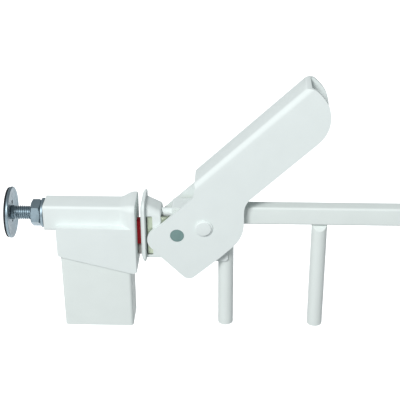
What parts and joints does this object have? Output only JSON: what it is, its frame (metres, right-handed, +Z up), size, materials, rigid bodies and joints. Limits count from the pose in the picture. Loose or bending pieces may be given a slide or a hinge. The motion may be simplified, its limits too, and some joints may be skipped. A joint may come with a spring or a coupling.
{
  "type": "stair gate latch",
  "caption": "Latch corner of a pressure-fit stair gate: wall spindle, post housing, clamping cap, rail end and raised lift handle.",
  "frame": {"origin": "centre of the wall pad's outer face, on the spindle's axis", "axes": "+X runs from the wall along the gate's rail, +Z is up, -Y is the front. The gate is shut and the handle is raised"},
  "size_m": [0.282, 0.0364, 0.188],
  "materials": {
    "white_painted_steel": "satin white powder coat",
    "white_moulded_plastic": "white moulded plastic, soft sheen",
    "red_plastic": "red moulded plastic",
    "bright_zinc": "bright zinc plate on steel",
    "yellow_zinc": "pale yellow zinc plate on steel",
    "spring_steel": "plain spring wire",
    "dark_rubber": "matt dark rubber",
    "grey_nylon": "natural grey nylon",
    "pale_nylon": "pale natural nylon"
  },
  "bodies": {
    "wall_spindle": {"pad_rubber": "dark_rubber", "pad_disc": "bright_zinc", "pad_rivet": "bright_zinc", "threaded_spindle": "bright_zinc"},
    "adjusting_nut": {"hex_nut": "bright_zinc"},
    "post": {"washer": "bright_zinc", "spindle_bush": "grey_nylon", "post_housing": "white_moulded_plastic", "post_tube": "white_painted_steel", "indicator_guide": "grey_nylon", "indicator_spring": "spring_steel", "housing_screw_1": "bright_zinc", "housing_screw_2": "bright_zinc"},
    "indicator": {"pressure_indicator": "red_plastic"},
    "gate_frame": {"rail_tube": "white_painted_steel", "rail_plug": "grey_nylon", "rail_screw": "bright_zinc", "bar_1": "white_painted_steel", "bar_2": "white_painted_steel", "latch_body_front": "white_moulded_plastic", "latch_body_rear": "white_moulded_plastic", "body_screw_1": "bright_zinc", "body_screw_2": "bright_zinc", "pivot_pin": "bright_zinc", "pivot_spacer_front": "grey_nylon", "pivot_spacer_rear": "grey_nylon", "return_spring": "spring_steel"},
    "handle": {"handle_shell": "white_moulded_plastic", "cam_stud_front": "bright_zinc", "cam_stud_rear": "bright_zinc", "pivot_cap_front": "white_moulded_plastic", "pivot_cap_rear": "white_moulded_plastic"},
    "end_cap": {"end_plate": "white_moulded_plastic", "cap_core": "grey_nylon", "cap_nose": "pale_nylon", "pull_plate_front": "yellow_zinc", "pull_plate_rear": "yellow_zinc", "cross_pin_1": "bright_zinc", "cross_pin_2": "bright_zinc", "push_rod": "white_moulded_plastic", "rod_washer": "bright_zinc", "rod_screw": "bright_zinc"}
  },
  "joints": [
    {"name": "post_slide", "type": "slide", "parent": "wall_spindle", "child": "post", "axis": [1, 0, 0], "range_m": [-0.0075, 0.0075]},
    {"name": "nut_turn", "type": "hinge", "parent": "post", "child": "adjusting_nut", "pos_m": [0.0203, 0, 0], "axis": [1, 0, 0], "range_deg": [-1805, 1805]},
    {"name": "gate_swing", "type": "hinge", "parent": "post", "child": "gate_frame", "pos_m": [0.75, 0, 0], "axis": [0, 0, 1], "range_deg": [-90, 90]},
    {"name": "handle_close", "type": "hinge", "parent": "gate_frame", "child": "handle", "pos_m": [0.1383, 0, -0.0036], "axis": [0, 1, 0], "range_deg": [0, 43.4]},
    {"name": "cap_slide", "type": "slide", "parent": "gate_frame", "child": "end_cap", "axis": [-1, 0, 0], "range_m": [0, 0.0029], "deforming": ["return_spring"]},
    {"name": "indicator_slide", "type": "slide", "parent": "post", "child": "indicator", "axis": [-1, 0, 0], "range_m": [0, 0.0029], "deforming": ["indicator_spring"]}
  ],
  "couplings": [
    {"joint": "nut_turn", "follows": "post_slide", "rad_per_m": 4188.8},
    {"joint": "cap_slide", "follows": "handle_close", "m_per_rad": 0.003825},
    {"joint": "indicator_slide", "follows": "handle_close", "m_per_rad": 0.003825}
  ]
}
